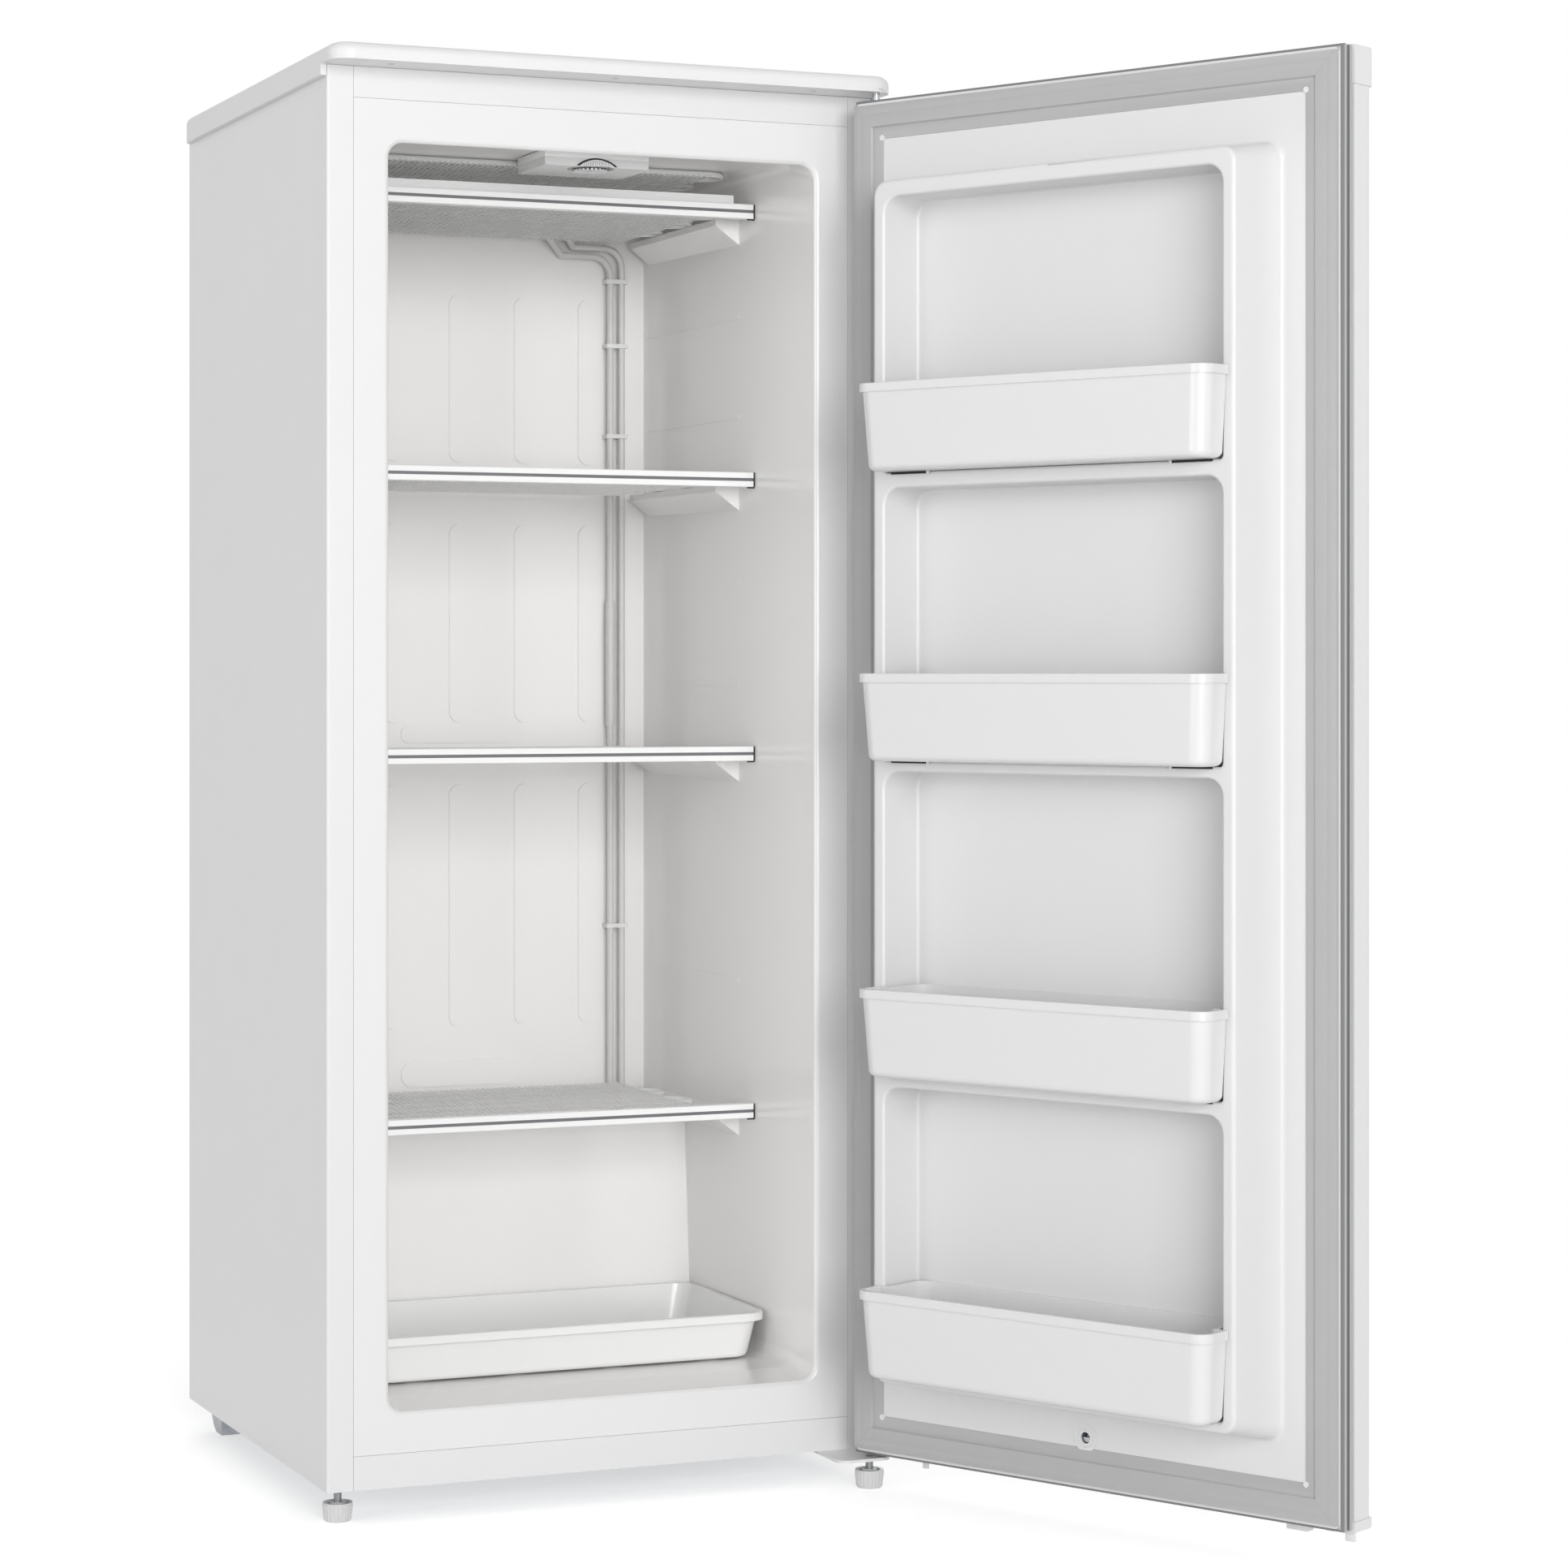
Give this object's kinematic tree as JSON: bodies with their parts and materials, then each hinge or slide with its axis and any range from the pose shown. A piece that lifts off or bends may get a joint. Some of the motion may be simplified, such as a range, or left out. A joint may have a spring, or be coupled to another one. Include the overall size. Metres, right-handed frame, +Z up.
{
  "type": "upright freezer",
  "caption": "Free-standing upright freezer, door open, with evaporator wire shelves, door bins, pull-out tray, thermostat and levelling feet.",
  "frame": {"origin": "floor level, under the middle of the cabinet's front plane", "axes": "+X towards the door's hinge side (right, seen from the front), +Y from the front to the back, +Z up"},
  "size_m": [0.8874, 1.128, 1.4855],
  "materials": {
    "enamel": "gloss white enamel",
    "galvanised": "satin grey coated steel",
    "liner": "formed white polystyrene",
    "foam": "rigid polyurethane foam",
    "moulding": "satin white moulding",
    "trim": "gloss white extrusion",
    "stripe": "dark grey insert",
    "shelf_wire": "white coated steel wire and tube",
    "riser": "satin tube",
    "white_plastic": "white moulding",
    "dark_plastic": "black moulding",
    "seal": "grey flexible seal",
    "magnet": "bonded ferrite strip",
    "nylon": "natural nylon",
    "steel": "zinc plated steel",
    "feet": "grey moulding on a steel stud",
    "copper": "copper tube",
    "compressor_paint": "black paint",
    "grommet": "black rubber"
  },
  "bodies": {
    "cabinet": {"back_panel": "galvanised", "base_plate": "galvanised", "cabinet_foam": "foam", "compressor": "compressor_paint", "compressor_bay_wall": "galvanised", "compressor_grommets": "grommet", "condenser_tube": "copper", "cord_inlet": "dark_plastic", "cover_screws": "steel", "evaporator_ceiling": "shelf_wire", "evaporator_shelf_1": "shelf_wire", "evaporator_shelf_2": "shelf_wire", "evaporator_shelf_3": "shelf_wire", "evaporator_shelf_4": "shelf_wire", "filter_drier": "copper", "front_bottom_rail": "enamel", "front_top_rail": "enamel", "hinge_pins": "steel", "hinge_screws": "steel", "inner_liner": "liner", "joint_sleeve": "riser", "lower_hinge": "enamel", "machine_rail": "galvanised", "rear_feet": "galvanised", "riser_clips": "white_plastic", "riser_tubes": "riser", "shelf_stripes": "stripe", "shelf_trim_1": "trim", "shelf_trim_2": "trim", "shelf_trim_3": "trim", "shelf_trim_4": "trim", "side_panel_left": "enamel", "side_panel_right": "enamel", "starter_box": "dark_plastic", "suction_line": "copper", "thermostat_housing": "white_plastic", "thermostat_switch": "dark_plastic", "top_cover": "moulding", "top_plate": "galvanised", "top_shelf_lip": "trim", "upper_hinge": "enamel"},
    "lock": {"lock_plug": "steel"},
    "bin_1": {"door_bin_1": "white_plastic"},
    "bin_2": {"door_bin_2": "white_plastic"},
    "bin_3": {"door_bin_3": "white_plastic"},
    "bin_4": {"door_bin_4": "white_plastic"},
    "tray": {"bottom_tray": "white_plastic"},
    "dial": {"thermostat_dial": "white_plastic"},
    "foot_left": {"levelling_foot_left": "feet"},
    "foot_right": {"levelling_foot_right": "feet"},
    "door": {"door_skin": "enamel", "door_cap_top": "moulding", "door_cap_bottom": "moulding", "door_foam": "foam", "door_liner": "liner", "door_gasket": "seal", "gasket_magnets": "magnet", "hinge_bushings": "nylon", "lock_housing": "steel"}
  },
  "joints": [
    {"name": "door_hinge", "type": "hinge", "parent": "cabinet", "child": "door", "pos_m": [0.2905, -0.033, 0], "axis": [0, 0, 1], "range_deg": [-117, 33]},
    {"name": "tray_slide", "type": "slide", "parent": "cabinet", "child": "tray", "axis": [0, -1, 0], "range_m": [0, 0.24]},
    {"name": "thermostat_turn", "type": "hinge", "parent": "cabinet", "child": "dial", "pos_m": [0.014, 0.088, 1.39], "axis": [0, 0, 1], "range_deg": [0, 300]},
    {"name": "lock_turn", "type": "hinge", "parent": "door", "child": "lock", "pos_m": [0.41971, -0.2932, 0.09], "axis": [0.891, 0.454, 0], "range_deg": [0, 90]},
    {"name": "foot_left_turn", "type": "hinge", "parent": "cabinet", "child": "foot_left", "pos_m": [-0.2825, 0.021, 0], "axis": [0, 0, 1], "range_deg": [0, 360]},
    {"name": "foot_right_turn", "type": "hinge", "parent": "cabinet", "child": "foot_right", "pos_m": [0.2785, -0.042, 0], "axis": [0, 0, 1], "range_deg": [0, 360]},
    {"name": "bin_1_lift", "type": "slide", "parent": "door", "child": "bin_1", "axis": [0, 0, 1], "range_m": [0, 0.03]},
    {"name": "bin_2_lift", "type": "slide", "parent": "door", "child": "bin_2", "axis": [0, 0, 1], "range_m": [0, 0.03]},
    {"name": "bin_3_lift", "type": "slide", "parent": "door", "child": "bin_3", "axis": [0, 0, 1], "range_m": [0, 0.03]},
    {"name": "bin_4_lift", "type": "slide", "parent": "door", "child": "bin_4", "axis": [0, 0, 1], "range_m": [0, 0.03]}
  ]
}
